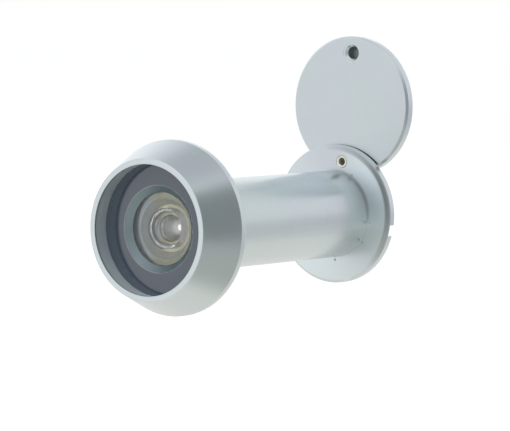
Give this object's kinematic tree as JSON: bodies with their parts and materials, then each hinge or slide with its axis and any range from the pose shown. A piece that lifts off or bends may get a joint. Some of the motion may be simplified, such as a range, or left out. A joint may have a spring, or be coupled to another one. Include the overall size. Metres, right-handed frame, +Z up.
{
  "type": "door viewer",
  "caption": "Wide-angle door viewer: conical outer bezel with a threaded stem, a screw-on barrel with a round inner flange, and a swing cover over the eyepiece.",
  "frame": {"origin": "centre of the outer seat, where the bezel rests on the door's outside face", "axes": "+Y runs inward along the barrel, through the door; +Z is up; +X is to the right seen from outside"},
  "size_m": [0.027, 0.0544, 0.0422],
  "materials": {
    "satin_chrome": "satin",
    "gloss_black": "gloss",
    "lens_glass": "gloss",
    "bare_brass": "satin",
    "black_metal": "matte",
    "spring_steel": "satin"
  },
  "bodies": {
    "housing": {"outer_housing": "satin_chrome", "lens_retainer": "gloss_black", "front_lens": "lens_glass", "front_lens_seat": "bare_brass", "second_lens": "lens_glass", "lens_spacer": "bare_brass", "third_lens": "lens_glass", "relay_tube": "bare_brass", "rear_lens": "lens_glass", "objective_lock_ring": "black_metal"},
    "eyepiece": {"field_lens": "lens_glass", "eyepiece_spacer": "black_metal", "eyepiece_lens": "lens_glass"},
    "sleeve": {"sleeve_tube": "satin_chrome", "inner_flange": "satin_chrome", "cover_pivot_rivet": "bare_brass", "friction_washer": "spring_steel", "eyepiece_lock_ring": "black_metal"},
    "cover": {"swing_cover": "satin_chrome", "cover_knob": "satin_chrome"}
  },
  "joints": [
    {"name": "sleeve_travel", "type": "slide", "parent": "housing", "child": "eyepiece", "axis": [0, 1, 0], "range_m": [0, 0.02]},
    {"name": "sleeve_spin", "type": "hinge", "parent": "eyepiece", "child": "sleeve", "pos_m": [0, 0.0409, 0], "axis": [0, 1, 0], "range_deg": [0, 7200]},
    {"name": "cover_swing", "type": "hinge", "parent": "sleeve", "child": "cover", "pos_m": [0.00179, 0.0424, 0.00851], "axis": [0, 1, 0], "continuous": true}
  ],
  "couplings": [
    {"joint": "sleeve_travel", "follows": "sleeve_spin", "m_per_rad": 0.00015915}
  ]
}
